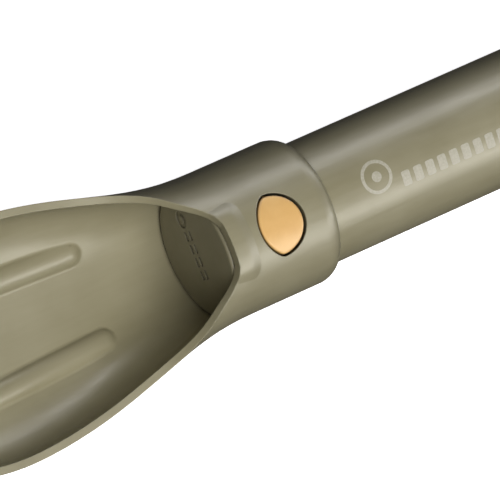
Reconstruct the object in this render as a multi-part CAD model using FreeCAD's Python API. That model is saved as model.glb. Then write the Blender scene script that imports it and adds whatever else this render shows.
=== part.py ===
import FreeCAD, Part
import math
import os

# A telescoping camp trowel. A tubular handle slides in the collar of a scoop-shaped blade, and a sprung
# button in the handle snaps into a hole in the collar. All sizes are in millimetres.
# The tool lies along X: the blade's tip points to -X and the handle's end to +X. +Z is up, and the
# scoop's hollow faces up. The pieces are drawn with the origin on the handle's axis, in the plane of the
# collar's rear face, and are moved at the end so that the tool rests on Z = 0 with its box centred on
# X = 0 and Y = 0.

# Handle
handle_radius = 20.0
handle_wall = 2.2
slide_travel = 92.0          # how far the handle moves between the extended and the stowed position
stow_gap = 0.3               # left between the end cap and the collar when stowed

# Blade and collar
slide_gap = 0.3              # all round the handle, inside the collar
collar_wall = 3.4
collar_length = 38.0         # top of the lip to the collar's rear face
blade_length = 160.0         # tip of the blade to the collar's rear face
blade_wall = 2.5
rear_round_length = 5.5      # rounding of the collar's rear edge, along the axis
rear_round_depth = 3.2       # and across it
flare_start = 30.0           # where the blade begins to widen, from the collar's rear face
flare_width = 15.2           # how much it widens on each side
flare_length = 50.0          # over about this length
flare_power = 2.3
floor_power = 2.7            # how square the blade's section is; 2 is round, as the collar is
floor_blend = 54.0           # length over which the round section turns squarer
nose_length = 48.0           # length of the narrowing nose
nose_narrowing = 0.32        # share of the half width that is gone at the tip
edge_thinning = 1.2          # taken off the floor's thickness at the tip

# The mouth, seen along the axis, opens from the lip: how far ahead of the lip, and its half angle in
# degrees. At the last point the rim is level with the axis, and from there it falls to the tip.
mouth_run = [(0.0, 16.0), (0.5, 20.0), (1.3, 25.0), (3.0, 31.0), (6.5, 39.5), (10.0, 48.0),
             (15.0, 61.0), (20.0, 70.0), (27.0, 78.5), (42.0, 85.5), (66.0, 90.0)]
nose_fall = 1.4              # how evenly it falls; 1 is a straight line

# Ribs on the blade's floor
rib_radius = 5.0             # radius of the round bar that each rib is the top of
rib_height = 1.9
rib_offset = 15.0            # from the centre line, at the rear end
rib_spread = 2.4             # degrees
rib_start = 70.0             # rear end's centre, from the collar's rear face
rib_length = 54.0
rib_blend = 1.2              # fillet between a rib and the floor

# Raised brow behind the lip, a flat-topped swelling of the collar with soft slopes
brow_rise = 1.25
brow_reach = 3.6             # how far its crown reaches back from the lip
brow_half_crown = 8.2        # half the crown's width, along the collar's surface
brow_rear_slope = 5.4        # width of the slope behind the crown
brow_side_slope = 7.4        # and beside it
brow_sink = 0.12             # how far its skirt dips under the collar's surface
brow_half_angle = 48.0       # degrees of the collar that the brow and its skirt take up
brow_spacing = 1.1           # between the sections that it is drawn with
brow_points = 25

# Release button, whose outline is a wide round arc at the rear and a flatter one in front
button_setback = 18.7        # from the lip to the middle of the hole
button_length = 16.4
button_rear_radius = 10.0
button_front_radius = 11.6
button_corner = 3.4
button_gap = 0.75            # between the button and the edge of the collar's hole
tube_hole_inset = 0.2        # the tube's hole is smaller than the collar's by this
button_sink = 0.2            # the button's crown lies this far below the collar's surface
button_edge = 0.8            # rounding of the crown's edge
button_travel = 3.8
flange_lip = 1.3             # the button's foot reaches this far past the tube's hole
foot_height = 5.6
foot_gap = 0.3               # between the foot and the tube's inside
well_gap = 0.4               # between the button's foot and the well in the plug

# Spring under the button
spring_radius = 3.8          # middle of the wire
spring_wire = 0.45           # radius of the wire
spring_turns = 5
spring_gap = 0.05            # between the spring's ends and what it bears on
spring_cup_depth = 2.6
post_gap = 0.45              # between the spring and the post inside it, or the cup round it

# Front plug
plug_flange = 3.0
plug_proud = 0.9             # the plug's face stands this far in front of the lip
plug_tail = 1.7              # of the plug behind the button's well
plug_gap = 0.2               # between the plug and the tube
flange_gap = 0.25            # between the plug's flange and the trough
stop_gap = 0.2               # between the flange and the step that stops it
plug_edge = 0.9              # rounding of the flange's front edge
spring_room = 5.2            # left under the button's foot when the button is pressed right in
plug_wall = 2.0
mark_depth = 0.4
mark_line = 1.3
mark_dash = 3.0
mark_count = 4               # dashes in each row
mark_ring_radius = 2.8
mark_ring_offset = 11.5      # to the side
mark_ring_height = -1.4      # from the handle's axis

# End cap and its seal
cap_flange = 4.0
cap_rim = 1.0                # how far the cap stands out past the tube
cap_skirt = 11.0
cap_gap = 0.25               # between the skirt and the tube
cap_wall = 3.8
cap_recess = 2.0             # how far the skirt's hollow runs on into the flange
cap_edge = 1.4
seal_wire = 1.1              # radius of the O-ring's section
seal_gap = 0.1               # between the O-ring and the tube
seal_room = 0.05             # between the O-ring and its groove
tab_reach = 9.0
tab_width = 17.0
tab_thickness = 5.0
lanyard_radius = 3.0
tab_rim = 2.4                # between the hole and the tab's end

# How the blade's form is drawn
section_points = 36
section_spacing = 7.0
mouth_sections = 22
angle_scale = 10.0           # degrees to a unit, to keep the curve of angles evenly stretched
nose_points = 8
nose_overrun = 0.12          # share of its length that the rim's curve runs on past the tip, under the blade
clear = 5.0                  # how far a cutting solid runs past what it cuts
crossing = 0.05              # lets the rear rounding cross the collar's surface instead of grazing it
rounding_points = 8
flat = 0.01                  # an edge whose box is thinner than this lies square to that direction

# Worked out from the sizes above
bore_radius = handle_radius + slide_gap
collar_radius = bore_radius + collar_wall
trough_radius = collar_radius - blade_wall
tube_bore = handle_radius - handle_wall
lip_x = -collar_length
button_x = lip_x + button_setback
cap_radius = handle_radius + cap_rim
tip_x = -blade_length
face_x = lip_x - plug_proud
flange_back_x = face_x + plug_flange
step_x = flange_back_x + stop_gap
tube_end_x = slide_travel + stow_gap
cap_face_x = tube_end_x + cap_flange
tool_end_x = cap_face_x + tab_reach
lanyard_x = tool_end_x - lanyard_radius - tab_rim
button_top = collar_radius - button_sink
foot_top = tube_bore - foot_gap
foot_bottom = foot_top - foot_height
well_floor = foot_bottom - button_travel - spring_room
foot_offset = flange_lip - tube_hole_inset
well_rear_x = button_x + button_length / 2.0 + foot_offset + well_gap + plug_wall
plug_length = well_rear_x + plug_tail - flange_back_x    # of the part inside the tube

along = FreeCAD.Vector(1, 0, 0)


def cylinder(radius, start_x, end_x):
    return Part.makeCylinder(radius, end_x - start_x, FreeCAD.Vector(start_x, 0, 0), along)


def nose_share(distance):
    # 0 until the nose begins, and 1 at the tip.
    return max(distance - blade_length + nose_length, 0.0) / nose_length


def squareness(distance):
    # The power of the blade's outline, which is 2 for the round collar.
    blend = min(max((distance - flare_start) / floor_blend, 0.0), 1.0)
    return 2.0 + (floor_power - 2.0) * blend


def half_width(distance):
    # Outer half width of the blade, at a distance from the collar's rear face.
    flare = max(distance - flare_start, 0.0) / flare_length
    widening = flare_width * (1.0 - math.exp(-flare ** flare_power))
    return (collar_radius + widening) * (1.0 - nose_narrowing * nose_share(distance) ** 2)


def section(distance, half, depth):
    # A closed outline across the tool: a circle at the collar, and squarer towards the blade's middle.
    power = squareness(distance)
    points = []
    for index in range(section_points):
        angle = 2.0 * math.pi * index / section_points - math.pi / 2.0
        across = abs(math.cos(angle)) / half
        upright = abs(math.sin(angle)) / depth
        reach = (across ** power + upright ** power) ** (-1.0 / power)
        points.append(FreeCAD.Vector(-distance, reach * math.cos(angle), reach * math.sin(angle)))
    curve = Part.BSplineCurve()
    curve.interpolate(points, True)
    return Part.Wire(curve.toShape())


def loft_between(start, end, inset, thinning):
    # The blade's outer form with no inset, or its hollow when the wall is the inset.
    sections = []
    steps = round((end - start) / section_spacing)
    for index in range(steps + 1):
        distance = start + (end - start) * index / steps
        depth = collar_radius - inset - thinning * nose_share(distance) ** 2
        sections.append(section(distance, half_width(distance) - inset, depth))
    return Part.makeLoft(sections, True, False)


def floor_height(distance, offset):
    # Height of the hollow's floor at a distance from the rear face and an offset from the middle.
    power = squareness(distance)
    share = abs(offset) / (half_width(distance) - blade_wall)
    return -trough_radius * (1.0 - share ** power) ** (1.0 / power)


def rib(side):
    # The top of a round-ended bar that lies in the floor.
    spread = math.tan(math.radians(rib_spread))
    ends = []
    for distance in (rib_start, rib_start + rib_length):
        offset = rib_offset + spread * (distance - rib_start)
        height = floor_height(distance, offset) + rib_height - rib_radius
        ends.append(FreeCAD.Vector(-distance, side * offset, height))
    line = ends[1] - ends[0]
    bar = Part.makeCylinder(rib_radius, line.Length, ends[0], line)
    for end in ends:
        bar = bar.fuse(Part.makeSphere(rib_radius, end))
    return bar


def rear_rounding():
    # The ring that is cut off the collar's rear edge.
    inner = collar_radius - rear_round_depth
    rise = rear_round_depth + crossing
    points = []
    for index in range(rounding_points + 1):
        angle = math.pi / 2.0 * index / rounding_points
        x = rear_round_length * (math.cos(angle) - 1.0)
        points.append(FreeCAD.Vector(x, inner + rise * math.sin(angle), 0))
    curve = Part.BSplineCurve()
    curve.interpolate(points)
    corners = [
        points[-1],
        FreeCAD.Vector(-rear_round_length, collar_radius + clear, 0),
        FreeCAD.Vector(clear, collar_radius + clear, 0),
        FreeCAD.Vector(clear, inner, 0),
        points[0],
    ]
    outline = Part.Wire([curve.toShape()] + Part.makePolygon(corners).Edges)
    return Part.Face(outline).revolve(FreeCAD.Vector(0, 0, 0), along, 360)


def mouth_opening():
    # What is cut away over the rim between the lip and the level rim. Its faces run straight out from
    # the axis, so that the rim's face is square to the wall.
    reach = 2.0 * half_width(blade_length - nose_length)
    top = reach + clear
    run = [FreeCAD.Vector(math.sqrt(ahead), angle / angle_scale, 0) for ahead, angle in mouth_run]
    curve = Part.BSplineCurve()
    curve.interpolate(run)
    sections = []
    for index in range(mouth_sections + 1):
        point = curve.value(curve.LastParameter * index / mouth_sections)
        x = lip_x - point.x ** 2
        angle = math.radians(point.y * angle_scale)
        across = reach * math.sin(angle)
        height = reach * math.cos(angle)
        corners = [(0, 0), (across, height), (across, top), (-across, top), (-across, height), (0, 0)]
        sections.append(Part.makePolygon([FreeCAD.Vector(x, y, z) for y, z in corners]))
    return Part.makeLoft(sections, True, False)


def above_nose():
    # Everything over the rim from where it is level to the tip. The rim's curve crosses the underside at
    # the tip, which gives the blade its edge.
    level_x = lip_x - mouth_run[-1][0]
    points = []
    for index in range(nose_points + 1):
        share = (1.0 + nose_overrun) * index / nose_points
        fall = (collar_radius - edge_thinning) * share ** nose_fall
        points.append(FreeCAD.Vector(level_x + (tip_x - level_x) * share, 0, -fall))
    curve = Part.BSplineCurve()
    curve.interpolate(points)
    top = collar_radius + clear
    end_x = tip_x - 2.0 * clear
    corners = [
        points[-1],
        FreeCAD.Vector(end_x, 0, points[-1].z),
        FreeCAD.Vector(end_x, 0, top),
        FreeCAD.Vector(level_x, 0, top),
        points[0],
    ]
    outline = Part.Wire([curve.toShape()] + Part.makePolygon(corners).Edges)
    reach = half_width(blade_length - nose_length) + clear
    profile = Part.Face(outline)
    profile.translate(FreeCAD.Vector(0, -reach, 0))
    return profile.extrude(FreeCAD.Vector(0, 2.0 * reach, 0))


def brow_height(x, angle):
    # How far the brow stands over the collar's surface: flat on the crown, and falling to the skirt.
    behind = max(x - lip_x - brow_reach, 0.0)
    beside = max(collar_radius * abs(angle) - brow_half_crown, 0.0)
    slope = min(math.hypot(behind / brow_rear_slope, beside / brow_side_slope), 1.0)
    return brow_rise * (1.0 - slope * slope * (3.0 - 2.0 * slope)) - brow_sink


def brow():
    # The swelling between the lip and the button, lofted from sections across the tool.
    half = math.radians(brow_half_angle)
    start_x = lip_x - clear
    end_x = lip_x + brow_reach + brow_rear_slope + brow_spacing
    steps = round((end_x - start_x) / brow_spacing)
    sections = []
    for step in range(steps + 1):
        x = start_x + (end_x - start_x) * step / steps
        points = []
        for index in range(brow_points):
            angle = half * (2.0 * index / (brow_points - 1) - 1.0)
            radius = collar_radius + brow_height(x, angle)
            points.append(FreeCAD.Vector(x, radius * math.sin(angle), radius * math.cos(angle)))
        curve = Part.BSplineCurve()
        curve.interpolate(points)
        sections.append(Part.Wire([curve.toShape(), Part.makeLine(points[-1], points[0])]))
    return Part.makeLoft(sections, True, False)


def other_side(point):
    return FreeCAD.Vector(point.x, -point.y, point.z)


def button_prism(offset, bottom, top):
    # An upright prism with the button's outline, grown by the offset: a rear arc, a front arc, and at each
    # side a small arc that touches both.
    rear_x = button_x + button_length / 2.0 - button_rear_radius
    front_x = button_x - button_length / 2.0 + button_front_radius
    rear_reach = button_rear_radius - button_corner
    front_reach = button_front_radius - button_corner
    spacing = front_x - rear_x
    corner_x = (spacing ** 2 + rear_reach ** 2 - front_reach ** 2) / (2.0 * spacing)
    rear = FreeCAD.Vector(rear_x, 0, bottom)
    front = FreeCAD.Vector(front_x, 0, bottom)
    corner = rear + FreeCAD.Vector(corner_x, math.sqrt(rear_reach ** 2 - corner_x ** 2), 0)
    rear_way = (corner - rear).normalize()
    front_way = (corner - front).normalize()
    rear_touch = rear + rear_way * (button_rear_radius + offset)
    front_touch = front + front_way * (button_front_radius + offset)
    corner_middle = corner + (rear_way + front_way).normalize() * (button_corner + offset)
    rear_middle = rear + along * (button_rear_radius + offset)
    front_middle = front - along * (button_front_radius + offset)
    arcs = [
        Part.Arc(rear_touch, rear_middle, other_side(rear_touch)),
        Part.Arc(other_side(rear_touch), other_side(corner_middle), other_side(front_touch)),
        Part.Arc(other_side(front_touch), front_middle, front_touch),
        Part.Arc(front_touch, corner_middle, rear_touch),
    ]
    outline = Part.Wire([arc.toShape() for arc in arcs])
    return Part.Face(outline).extrude(FreeCAD.Vector(0, 0, top - bottom))


def scoop_blade():
    outer = loft_between(0.0, blade_length + clear, 0.0, edge_thinning)
    body = outer.fuse(brow()).cut(rear_rounding())
    hollow = loft_between(-step_x, blade_length + 2.0 * clear, blade_wall, 0.0)
    for side in (-1, 1):
        hollow = hollow.cut(rib(side))
    foot_edges = []
    for edge in hollow.Edges:
        box = edge.BoundBox
        near = -rib_start - rib_length - 2.0 * rib_radius < box.XMin and box.XMax < rib_radius - rib_start
        if near and box.ZMax < 0 and box.XLength < rib_length + rib_radius:
            foot_edges.append(edge)
    hollow = hollow.makeFillet(rib_blend, foot_edges)
    bore = cylinder(bore_radius, step_x - clear, clear)
    body = body.cut(hollow).cut(bore)
    body = body.cut(button_prism(0.0, 0.0, collar_radius + clear))
    return body.cut(mouth_opening()).cut(above_nose())


def handle_tube():
    tube = cylinder(handle_radius, flange_back_x, tube_end_x)
    tube = tube.cut(cylinder(tube_bore, flange_back_x, tube_end_x))
    return tube.cut(button_prism(-tube_hole_inset, 0.0, handle_radius + clear))


def front_plug():
    # A flanged disc that closes the tube, with a walled well for the button on a deck with open sides.
    radius = tube_bore - plug_gap
    back_x = flange_back_x + plug_length
    flange = cylinder(trough_radius - flange_gap, face_x, flange_back_x)
    front_edges = [edge for edge in flange.Edges if edge.BoundBox.XMax < face_x + stop_gap]
    flange = flange.makeFillet(plug_edge, front_edges)
    barrel = cylinder(radius, flange_back_x, back_x)
    shell = barrel.cut(cylinder(radius - plug_wall, flange_back_x + plug_wall, back_x))
    below = Part.makeBox(plug_length, 2.0 * radius, radius + well_floor)
    below.translate(FreeCAD.Vector(flange_back_x, -radius, -radius))
    floor = Part.makeBox(plug_length, 2.0 * radius, plug_wall)
    floor.translate(FreeCAD.Vector(flange_back_x, -radius, well_floor - plug_wall))
    well = button_prism(foot_offset + well_gap + plug_wall, well_floor, radius)
    well = well.cut(button_prism(foot_offset + well_gap, well_floor, radius))
    place = FreeCAD.Vector(button_x, 0, well_floor)
    post = Part.makeCylinder(spring_radius - spring_wire - post_gap, spring_cup_depth, place)
    collar = cylinder(radius, flange_back_x, flange_back_x + plug_wall)
    plug = flange.fuse([collar, shell.common(below), floor.common(barrel), well.common(barrel), post])
    for mark in face_marks():
        plug = plug.cut(mark)
    return plug.removeSplitter()


def face_marks():
    # Shallow marks in the plug's face: a ring, and two rows of dashes.
    marks = []
    place = FreeCAD.Vector(face_x, mark_ring_offset, mark_ring_height)
    ring = Part.makeCylinder(mark_ring_radius, mark_depth, place, along)
    marks.append(ring.cut(Part.makeCylinder(mark_ring_radius - mark_line, mark_depth, place, along)))
    for row in (-1, 1):
        for index in range(mark_count):
            dash = Part.makeBox(mark_depth, mark_dash, mark_line)
            left = mark_ring_offset - mark_ring_radius - (index + 1) * (mark_dash + mark_line)
            dash.translate(FreeCAD.Vector(face_x, left, mark_ring_height + row * mark_ring_radius / 2.0))
            marks.append(dash)
    return marks


def release_button():
    crown = button_prism(-button_gap, foot_top - button_edge, collar_radius)
    dome = cylinder(button_top, -collar_length, 0)
    dome.rotate(FreeCAD.Vector(0, 0, 0), along, 180)      # takes the cylinder's seam off the crown
    crown = crown.common(dome)
    rim = [edge for edge in crown.Edges if edge.BoundBox.ZMin > foot_top + button_edge]
    crown = crown.makeFillet(button_edge, rim)
    foot = button_prism(foot_offset, foot_bottom, tube_bore)
    foot = foot.common(cylinder(foot_top, -collar_length, 0))
    place = FreeCAD.Vector(button_x, 0, foot_bottom)
    cup = Part.makeCylinder(spring_radius + spring_wire + post_gap, spring_cup_depth, place)
    return crown.fuse(foot).cut(cup)


def button_spring():
    low = well_floor + spring_gap + spring_wire
    high = foot_bottom + spring_cup_depth - spring_gap - spring_wire
    height = high - low
    helix = Part.makeHelix(height / spring_turns, height, spring_radius)
    section_center = FreeCAD.Vector(spring_radius, 0, 0)
    wire_section = Part.Wire(Part.makeCircle(spring_wire, section_center, FreeCAD.Vector(0, 1, 0)))
    spring = Part.Wire(helix).makePipeShell([wire_section], True, True)
    spring.translate(FreeCAD.Vector(button_x, 0, low))
    return spring


def cap_seal():
    major = tube_bore - seal_gap - seal_wire
    middle = FreeCAD.Vector(tube_end_x - cap_skirt / 2.0, 0, 0)
    return Part.makeTorus(major, seal_wire, middle, along)


def end_cap():
    disc = cylinder(cap_radius, tube_end_x, cap_face_x)
    outer_edges = [edge for edge in disc.Edges if edge.BoundBox.XLength < flat]
    disc = disc.makeFillet(cap_edge, outer_edges)
    skirt_radius = tube_bore - cap_gap
    skirt = cylinder(skirt_radius, tube_end_x - cap_skirt, tube_end_x)
    skirt = skirt.cut(cylinder(skirt_radius - cap_wall, tube_end_x - cap_skirt, tube_end_x))
    groove_half = seal_wire + 3.0 * seal_room
    groove_x = tube_end_x - cap_skirt / 2.0
    groove_radius = tube_bore - seal_gap - 2.0 * seal_wire - seal_room
    groove = cylinder(skirt_radius + clear, groove_x - groove_half, groove_x + groove_half)
    groove = groove.cut(cylinder(groove_radius, groove_x - groove_half, groove_x + groove_half))
    disc = disc.cut(cylinder(skirt_radius - cap_wall, tube_end_x, tube_end_x + cap_recess))
    cap = disc.fuse([skirt.cut(groove), lanyard_tab()])
    hole_place = FreeCAD.Vector(lanyard_x, 0, -tab_thickness)
    return cap.cut(Part.makeCylinder(lanyard_radius, 2.0 * tab_thickness, hole_place))


def lanyard_tab():
    round_x = tool_end_x - tab_width / 2.0
    low = -tab_thickness / 2.0
    start_x = tube_end_x + cap_recess
    corner = FreeCAD.Vector(start_x, -tab_width / 2.0, low)
    plate = Part.makeBox(round_x - start_x, tab_width, tab_thickness, corner)
    nose = Part.makeCylinder(tab_width / 2.0, tab_thickness, FreeCAD.Vector(round_x, 0, low))
    return plate.fuse(nose).removeSplitter()


pieces = {
    "scoop_blade": scoop_blade(),
    "handle_tube": handle_tube(),
    "front_plug": front_plug(),
    "release_button": release_button(),
    "button_spring": button_spring(),
    "end_cap": end_cap(),
    "cap_seal": cap_seal(),
}

os.makedirs("parts", exist_ok=True)
reach = Part.makeCompound(list(pieces.values())).optimalBoundingBox(False, False)
home = FreeCAD.Vector(-(reach.XMin + reach.XMax) / 2.0, 0, -reach.ZMin)
print("overall size", round(reach.XLength, 2), round(reach.YLength, 2), round(reach.ZLength, 2))
print("moved by", round(home.x, 3), round(home.z, 3))
for name, shape in pieces.items():
    shape.translate(home)
    state = "valid" if shape.isValid() else "not valid"
    print(name, state, len(shape.Solids), "solid,", round(shape.Volume), "mm3")
    shape.exportStep(os.path.join("parts", name + ".step"))
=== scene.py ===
import math

import bmesh
import bpy
from mathutils import Matrix, Vector


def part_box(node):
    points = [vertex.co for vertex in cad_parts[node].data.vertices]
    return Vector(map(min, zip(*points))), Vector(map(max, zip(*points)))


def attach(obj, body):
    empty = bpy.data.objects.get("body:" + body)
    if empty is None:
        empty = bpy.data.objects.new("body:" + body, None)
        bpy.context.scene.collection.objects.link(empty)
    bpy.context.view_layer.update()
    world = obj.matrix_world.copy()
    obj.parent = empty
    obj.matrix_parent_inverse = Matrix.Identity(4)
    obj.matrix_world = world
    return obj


# A telescoping camp trowel lying on a pale floor, scoop up, with its handle drawn out along +X.
# Everything is in metres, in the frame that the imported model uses.

mm = 0.001
shaderSamples = 6      # rays for each rounded edge and each crevice


# node helpers

def newMaterial(name):
    material = bpy.data.materials.new(name)
    material.use_nodes = True
    nodes = material.node_tree.nodes
    return material, nodes, material.node_tree.links, nodes["Principled BSDF"]


def objectPoint(nodes):
    return nodes.new("ShaderNodeTexCoord").outputs["Object"]


def noiseAt(nodes, links, point, scale, detail=2.0, rough=0.5):
    noise = nodes.new("ShaderNodeTexNoise")
    noise.inputs["Scale"].default_value = scale
    noise.inputs["Detail"].default_value = detail
    noise.inputs["Roughness"].default_value = rough
    links.new(point, noise.inputs["Vector"])
    return noise.outputs["Fac"]


def spread(nodes, links, value, fromLow, fromHigh, toLow, toHigh):
    remap = nodes.new("ShaderNodeMapRange")
    remap.inputs["From Min"].default_value = fromLow
    remap.inputs["From Max"].default_value = fromHigh
    remap.inputs["To Min"].default_value = toLow
    remap.inputs["To Max"].default_value = toHigh
    links.new(value, remap.inputs["Value"])
    return remap.outputs["Result"]


def mixColour(nodes, links, factor, first, second):
    mix = nodes.new("ShaderNodeMix")
    mix.data_type = "RGBA"
    for socket, colour in ((mix.inputs[6], first), (mix.inputs[7], second)):
        if isinstance(colour, (tuple, list)):
            socket.default_value = (*colour, 1.0)
        else:
            links.new(colour, socket)
    links.new(factor, mix.inputs[0])
    return mix.outputs[2]


def roundedNormal(nodes, radius):
    soft = nodes.new("ShaderNodeBevel")
    soft.samples = shaderSamples
    soft.inputs["Radius"].default_value = radius
    return soft.outputs["Normal"]


def edgeMask(nodes, links, radius, sharp):
    # 0 on open surfaces, up to 1 along edges, from how far the rounded normal leans from the true one
    soft = roundedNormal(nodes, radius)
    true = nodes.new("ShaderNodeNewGeometry")
    lean = nodes.new("ShaderNodeVectorMath")
    lean.operation = "DOT_PRODUCT"
    links.new(soft, lean.inputs[0])
    links.new(true.outputs["Normal"], lean.inputs[1])
    return spread(nodes, links, lean.outputs["Value"], 1.0 - sharp, 1.0, 1.0, 0.0)


def paintedShadeMask(nodes, links, reach):
    # painted shade: 0 in the open, up to 1 deep in gaps and corners, where occlusion darkens the colour
    cover = nodes.new("ShaderNodeAmbientOcclusion")
    cover.samples = shaderSamples
    cover.inputs["Distance"].default_value = reach
    return spread(nodes, links, cover.outputs["AO"], 0.15, 0.75, 1.0, 0.0)


def grainAndRounding(nodes, links, shader, height, strength, depth, radius):
    # moulded grain over softly rounded edges
    soft = roundedNormal(nodes, radius)
    bump = nodes.new("ShaderNodeBump")
    bump.inputs["Strength"].default_value = strength
    bump.inputs["Distance"].default_value = depth
    links.new(height, bump.inputs["Height"])
    links.new(soft, bump.inputs["Normal"])
    links.new(bump.outputs["Normal"], shader.inputs["Normal"])


# finishes

nylon = {
    "colour": (0.290, 0.263, 0.168),      # olive grey, glass-filled
    "deepColour": (0.240, 0.216, 0.130),
    "wornColour": (0.40, 0.37, 0.28),
    "wear": 0.30,                         # how strongly edges are rubbed pale
    # painted shade: the near-black colour laid into gaps and corners
    "paintedShadeColour": (0.030, 0.026, 0.015),
    "paintedShadeReach": 1.6 * mm,                 # gaps and corners narrower than about this get painted shade
    "edge": 0.6 * mm,
    "cloudScale": 38.0,
    "flowScale": 420.0,
    "flowStretch": (0.12, 1.0, 1.0),      # flow marks run along the tool
    "flowShare": 0.35,
    "speckScale": 900.0,
    "roughness": (0.36, 0.46),
    "grainScale": 2600.0,
    "grainStrength": 0.25,
    "grainDepth": 0.03 * mm,
}


def nylonMaterial(name, shade=1.0):
    # satin moulded nylon: fine grain, faint flow marks along the tool, paler edges, and painted shade
    # darkening gaps and corners
    material, nodes, links, shader = newMaterial(name)
    point = objectPoint(nodes)
    cloud = noiseAt(nodes, links, point, nylon["cloudScale"], 3.0, 0.55)
    stretch = nodes.new("ShaderNodeMapping")
    stretch.inputs["Scale"].default_value = nylon["flowStretch"]
    links.new(point, stretch.inputs["Vector"])
    flow = noiseAt(nodes, links, stretch.outputs["Vector"], nylon["flowScale"], 3.0, 0.6)
    tone = nodes.new("ShaderNodeMath")
    tone.operation = "MULTIPLY_ADD"
    links.new(flow, tone.inputs[0])
    tone.inputs[1].default_value = nylon["flowShare"]
    links.new(cloud, tone.inputs[2])
    amount = spread(nodes, links, tone.outputs["Value"], 0.45, 0.95, 0.0, 1.0)
    # a shade below 1 darkens the whole colour; on the front plug this is painted shade
    plain = tuple(channel * shade for channel in nylon["colour"])
    deep = tuple(channel * shade for channel in nylon["deepColour"])
    body = mixColour(nodes, links, amount, deep, plain)
    speck = noiseAt(nodes, links, point, nylon["speckScale"], 2.0, 0.7)
    rubbed = edgeMask(nodes, links, nylon["edge"], 0.25)
    broken = spread(nodes, links, speck, 0.35, 0.7, 0.15, 1.0)
    worn = nodes.new("ShaderNodeMath")
    worn.operation = "MULTIPLY"
    links.new(rubbed, worn.inputs[0])
    links.new(broken, worn.inputs[1])
    wornAmount = spread(nodes, links, worn.outputs["Value"], 0.0, 1.0, 0.0, nylon["wear"])
    tinted = mixColour(nodes, links, wornAmount, body, nylon["wornColour"])
    # painted shade: gaps and corners darken towards near black
    shadeAmount = paintedShadeMask(nodes, links, nylon["paintedShadeReach"])
    links.new(mixColour(nodes, links, shadeAmount, tinted, nylon["paintedShadeColour"]), shader.inputs["Base Color"])
    low, high = nylon["roughness"]
    links.new(spread(nodes, links, flow, 0.3, 0.7, low, high), shader.inputs["Roughness"])
    grain = noiseAt(nodes, links, point, nylon["grainScale"], 2.0, 0.6)
    grainAndRounding(nodes, links, shader, grain, nylon["grainStrength"], nylon["grainDepth"], nylon["edge"])
    return material


nylonPieces = (                           # node, material, how light each piece's nylon is made; the plug's 0.7 darkens it as painted shade
    ("scoop_blade", "bladeNylon", 1.0),
    ("handle_tube", "handleNylon", 1.02),
    ("front_plug", "plugNylonPaintedShade", 0.7),
    ("end_cap", "capNylon", 0.97),
)

buttonFinish = {
    "colour": (0.74, 0.455, 0.165),       # tan
    "deepColour": (0.68, 0.40, 0.135),
    # how far the painted shade reaches into the gap round the button
    "paintedShadeReach": 1.2 * mm,
    "roughness": (0.38, 0.48),
    "cloudScale": 160.0,
    "grainScale": 3200.0,
    "grainStrength": 0.2,
    "grainDepth": 0.02 * mm,
    "edge": 0.5 * mm,
}


def buttonMaterial():
    material, nodes, links, shader = newMaterial("buttonPlastic")
    point = objectPoint(nodes)
    cloud = noiseAt(nodes, links, point, buttonFinish["cloudScale"], 3.0, 0.55)
    amount = spread(nodes, links, cloud, 0.3, 0.7, 0.0, 1.0)
    tint = mixColour(nodes, links, amount, buttonFinish["deepColour"], buttonFinish["colour"])
    # painted shade: the gap round the button darkens towards near black
    shadeAmount = paintedShadeMask(nodes, links, buttonFinish["paintedShadeReach"])
    links.new(mixColour(nodes, links, shadeAmount, tint, nylon["paintedShadeColour"]), shader.inputs["Base Color"])
    low, high = buttonFinish["roughness"]
    links.new(spread(nodes, links, cloud, 0.3, 0.7, low, high), shader.inputs["Roughness"])
    grain = noiseAt(nodes, links, point, buttonFinish["grainScale"], 2.0, 0.6)
    strength, depth, edge = buttonFinish["grainStrength"], buttonFinish["grainDepth"], buttonFinish["edge"]
    grainAndRounding(nodes, links, shader, grain, strength, depth, edge)
    return material


def plainMaterial(name, finish):
    # one noise drives the colour, another the roughness, and a third the grain
    material, nodes, links, shader = newMaterial(name)
    point = objectPoint(nodes)
    tint = noiseAt(nodes, links, point, *finish["tintNoise"])
    sheen = noiseAt(nodes, links, point, *finish["sheenNoise"])
    grain = noiseAt(nodes, links, point, *finish["grainNoise"])
    fromLow, fromHigh = finish["tintSpan"]
    amount = spread(nodes, links, tint, fromLow, fromHigh, 0.0, 1.0)
    links.new(mixColour(nodes, links, amount, *finish["colours"]), shader.inputs["Base Color"])
    low, high = finish["roughness"]
    links.new(spread(nodes, links, sheen, 0.3, 0.7, low, high), shader.inputs["Roughness"])
    shader.inputs["Metallic"].default_value = finish["metallic"]
    strength, depth, edge = finish["grainStrength"], finish["grainDepth"], finish["edge"]
    grainAndRounding(nodes, links, shader, grain, strength, depth, edge)
    return material


springSteel = {                           # drawn wire, with fine lines and a slight oil stain
    "colours": ((0.42, 0.42, 0.43), (0.60, 0.60, 0.61)),
    "tintNoise": (250.0, 2.0, 0.5),       # scale, detail, roughness
    "tintSpan": (0.35, 0.7),
    "sheenNoise": (1800.0, 4.0, 0.7),
    "roughness": (0.22, 0.40),
    "metallic": 1.0,
    "grainNoise": (1800.0, 4.0, 0.7),
    "grainStrength": 0.15,
    "grainDepth": 0.01 * mm,
    "edge": 0.05 * mm,
}

sealRubber = {                            # matt black, with a dusting of moulding bloom
    "colours": ((0.018, 0.018, 0.018), (0.045, 0.044, 0.042)),
    "tintNoise": (300.0, 4.0, 0.6),
    "tintSpan": (0.45, 0.8),
    "sheenNoise": (300.0, 4.0, 0.6),
    "roughness": (0.55, 0.75),
    "metallic": 0.0,
    "grainNoise": (2200.0, 2.0, 0.6),
    "grainStrength": 0.2,
    "grainDepth": 0.02 * mm,
    "edge": 0.1 * mm,
}

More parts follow.
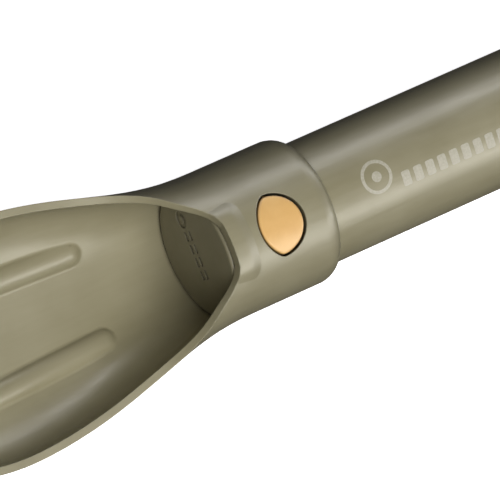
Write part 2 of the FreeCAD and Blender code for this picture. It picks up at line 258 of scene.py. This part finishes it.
palePrint = {                             # matt ink, a little broken by the nylon's grain
    "colours": ((0.37, 0.345, 0.262), (0.44, 0.415, 0.33)),
    "tintNoise": (1500.0, 3.0, 0.6),
    "tintSpan": (0.35, 0.65),
    "sheenNoise": (1500.0, 3.0, 0.6),
    "roughness": (0.5, 0.62),
    "metallic": 0.0,
    "grainNoise": (2600.0, 2.0, 0.6),
    "grainStrength": 0.2,
    "grainDepth": 0.02 * mm,
    "edge": 0.05 * mm,
}

floorFinish = {
    "colours": ((0.88, 0.88, 0.88), (0.90, 0.90, 0.90)),
    "glow": 0.95,                         # keeps the floor white under the soft lights
    "roughness": 0.9,
    "specular": 0.1,
    "cloudScale": 6.0,
}


def floorMaterial():
    material, nodes, links, shader = newMaterial("paleFloor")
    cloud = noiseAt(nodes, links, objectPoint(nodes), floorFinish["cloudScale"])
    amount = spread(nodes, links, cloud, 0.3, 0.7, 0.0, 1.0)
    links.new(mixColour(nodes, links, amount, *floorFinish["colours"]), shader.inputs["Base Color"])
    shader.inputs["Emission Color"].default_value = (1.0, 1.0, 1.0, 1.0)
    shader.inputs["Emission Strength"].default_value = floorFinish["glow"]
    shader.inputs["Roughness"].default_value = floorFinish["roughness"]
    shader.inputs["Specular IOR Level"].default_value = floorFinish["specular"]
    return material


def finishNode(name, material):
    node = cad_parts[name]
    node.data.materials.clear()
    node.data.materials.append(material)


# pieces

def meshObject(name, shape, material, smooth=True):
    mesh = bpy.data.meshes.new(name)
    shape.to_mesh(mesh)
    shape.free()
    for face in mesh.polygons:
        face.use_smooth = smooth
    mesh.materials.append(material)
    piece = bpy.data.objects.new(name, mesh)
    bpy.context.scene.collection.objects.link(piece)
    return piece


handlePrint = {
    "ringAt": 45.4 * mm,        # ring's middle, along the handle
    "ringRadius": 5.4 * mm,
    "ringBand": 1.1 * mm,
    "dotRadius": 1.7 * mm,
    "barStart": 55.0 * mm,      # first bar's middle
    "barPitch": 4.5 * mm,
    "barSize": (3.0 * mm, 4.8 * mm),
    "barCorner": 0.7 * mm,
    "barCount": 9,
    "barsAside": 3.3 * mm,      # how far the row sits to the -Y side
    "ringAside": -0.8 * mm,     # and the ring, here a little to the +Y side
    "lift": 0.03 * mm,          # thickness of the print
    "roundSteps": 72,           # sides of the ring and the dot
    "barSteps": 8,              # strips across a bar, so that it wraps round the tube
    "cornerSteps": 5,
}


def rollOnto(shape, radius, axisHeight):
    # wraps a flat drawing round the handle's top
    for vert in shape.verts:
        angle = vert.co.y / radius
        reach = radius + vert.co.z
        vert.co.y = reach * math.sin(angle)
        vert.co.z = axisHeight + reach * math.cos(angle)


def printDisc(shape, place, radius, hole):
    # a flat ring, or a disc where there is no hole
    ring = bmesh.ops.create_circle(shape, cap_ends=True, segments=handlePrint["roundSteps"], radius=radius)
    bmesh.ops.translate(shape, verts=ring["verts"], vec=place)
    face = ring["verts"][0].link_faces[0]
    band = radius - hole if hole else radius / 2.0
    bmesh.ops.inset_individual(shape, faces=[face], thickness=band)
    if hole:
        bmesh.ops.delete(shape, geom=[face], context="FACES")


def printBar(shape, place):
    width, height = handlePrint["barSize"]
    fit = Matrix.Translation(place) @ Matrix.Diagonal((width, height, 1.0, 1.0))
    steps = handlePrint["barSteps"]
    made = bmesh.ops.create_grid(shape, x_segments=1, y_segments=steps, size=0.5, matrix=fit)
    outer = [vert for vert in made["verts"] if len(vert.link_faces) == 1]
    bmesh.ops.bevel(shape, geom=outer, offset=handlePrint["barCorner"], offset_type="OFFSET",
                    segments=handlePrint["cornerSteps"], profile=0.5, affect="VERTICES", material=-1)


def makePrint(ink, radius, axisHeight):
    shape = bmesh.new()
    ringPlace = Vector((handlePrint["ringAt"], -handlePrint["ringAside"], 0.0))
    hole = handlePrint["ringRadius"] - handlePrint["ringBand"]
    printDisc(shape, ringPlace, handlePrint["ringRadius"], hole)
    printDisc(shape, ringPlace, handlePrint["dotRadius"], 0.0)
    for index in range(handlePrint["barCount"]):
        x = handlePrint["barStart"] + index * handlePrint["barPitch"]
        printBar(shape, Vector((x, -handlePrint["barsAside"], 0.0)))
    raised = bmesh.ops.extrude_face_region(shape, geom=list(shape.faces))
    lifted = [item for item in raised["geom"] if isinstance(item, bmesh.types.BMVert)]
    bmesh.ops.translate(shape, verts=lifted, vec=(0.0, 0.0, handlePrint["lift"]))
    bmesh.ops.recalc_face_normals(shape, faces=list(shape.faces))
    rollOnto(shape, radius, axisHeight)
    piece = meshObject("handlePrint", shape, ink, smooth=False)
    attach(piece, "handle")


# studio

studio = {
    "floorSize": 6.0,
    "worldColour": (1.0, 1.0, 1.0),
    "worldStrength": 0.05,
    "viewDistance": 2.16,
    "view": Vector((-0.42304, 0.07519, 0.90299)),        # from the tool towards the camera
    "viewRight": Vector((0.82715, -0.37484, 0.41872)),
    "viewCentre": Vector((0.00934, -0.00619, 0.01578)),   # what the middle of the view looks at
    "lens": 504.2,
    "sensor": 36.0,
}


def makeFloor():
    shape = bmesh.new()
    bmesh.ops.create_grid(shape, x_segments=1, y_segments=1, size=studio["floorSize"] / 2.0)
    floor = meshObject("floor", shape, floorMaterial())
    floor.visible_glossy = False
    floor.visible_diffuse = False


def softLight(name, place, target, size, power, glossy=True, diffuse=True):
    lamp = bpy.data.lights.new(name, "AREA")
    lamp.shape = "RECTANGLE"
    lamp.size, lamp.size_y = size
    lamp.energy = power
    light = bpy.data.objects.new(name, lamp)
    facing = (place - target).normalized()
    across = Vector((1.0, 0.0, 0.0))
    across = (across - facing * across.dot(facing)).normalized()
    upward = facing.cross(across)
    turn = Matrix((across, upward, facing)).transposed()
    light.matrix_world = Matrix.Translation(place) @ turn.to_4x4()
    light.visible_glossy = glossy
    light.visible_diffuse = diffuse
    bpy.context.scene.collection.objects.link(light)


def aroundHandle(middle, lean, distance):
    # a place whose light a round handle throws back towards the view; lean is from upright towards +Y
    mirrored = -studio["view"].x
    upright = math.sqrt(1.0 - mirrored ** 2)
    angle = math.radians(lean)
    way = Vector((mirrored, upright * math.sin(angle), upright * math.cos(angle)))
    return middle + way * distance


lights = {
    "keyPlace": Vector((-0.22, -0.31, 1.13)),      # from the tool's middle
    "keySize": (1.0, 0.9),
    "keyPower": 18.0,
    "strips": (                                    # name, lean in degrees, distance, width, power
        ("leftStrip", 67.0, 0.70, 0.05, 7.2),
        ("rightStrip", -42.0, 0.70, 0.14, 9.5),
    ),
    "stripLength": 1.6,
}


def makeLights(axisHeight):
    middle = Vector((0.0, 0.0, axisHeight))
    # a broad soft key, and strips that only show as lines of light along the handle
    keyPlace = middle + lights["keyPlace"]
    softLight("keyLight", keyPlace, middle, lights["keySize"], lights["keyPower"], glossy=False)
    for name, lean, distance, width, power in lights["strips"]:
        place = aroundHandle(middle, lean, distance)
        softLight(name, place, middle, (lights["stripLength"], width), power, diffuse=False)
    world = bpy.data.worlds.new("studioAir")
    bpy.context.scene.world = world
    world.use_nodes = True
    air = world.node_tree.nodes["Background"]
    air.inputs["Color"].default_value = (*studio["worldColour"], 1.0)
    air.inputs["Strength"].default_value = studio["worldStrength"]


def makeCamera():
    back = studio["view"].normalized()
    right = (studio["viewRight"] - back * studio["viewRight"].dot(back)).normalized()
    upward = back.cross(right)
    turn = Matrix((right, upward, back)).transposed()
    lens = bpy.data.cameras.new("camera")
    lens.lens = studio["lens"]
    lens.sensor_width = studio["sensor"]
    camera = bpy.data.objects.new("camera", lens)
    place = studio["viewCentre"] + back * studio["viewDistance"]
    camera.matrix_world = Matrix.Translation(place) @ turn.to_4x4()
    bpy.context.scene.collection.objects.link(camera)
    bpy.context.scene.camera = camera


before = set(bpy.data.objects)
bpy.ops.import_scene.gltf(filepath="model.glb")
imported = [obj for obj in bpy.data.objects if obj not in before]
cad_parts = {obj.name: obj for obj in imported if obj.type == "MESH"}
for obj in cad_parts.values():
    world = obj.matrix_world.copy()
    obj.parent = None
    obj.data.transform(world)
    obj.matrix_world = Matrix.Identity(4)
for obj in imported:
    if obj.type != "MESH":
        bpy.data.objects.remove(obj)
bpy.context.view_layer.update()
tubeLow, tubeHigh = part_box("handle_tube")
tubeRadius = (tubeHigh.y - tubeLow.y) / 2.0
axisHeight = (tubeLow.z + tubeHigh.z) / 2.0
print("loaded the trowel,", len(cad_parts), "pieces")

for node, name, shade in nylonPieces:
    finishNode(node, nylonMaterial(name, shade))
finishNode("release_button", buttonMaterial())
finishNode("button_spring", plainMaterial("springSteel", springSteel))
finishNode("cap_seal", plainMaterial("sealRubber", sealRubber))
print("finishes are on")

makePrint(plainMaterial("palePrint", palePrint), tubeRadius, axisHeight)
print("the handle is printed")

makeFloor()
makeLights(axisHeight)
makeCamera()
bpy.context.scene.view_settings.view_transform = "Standard"
print("studio is set")
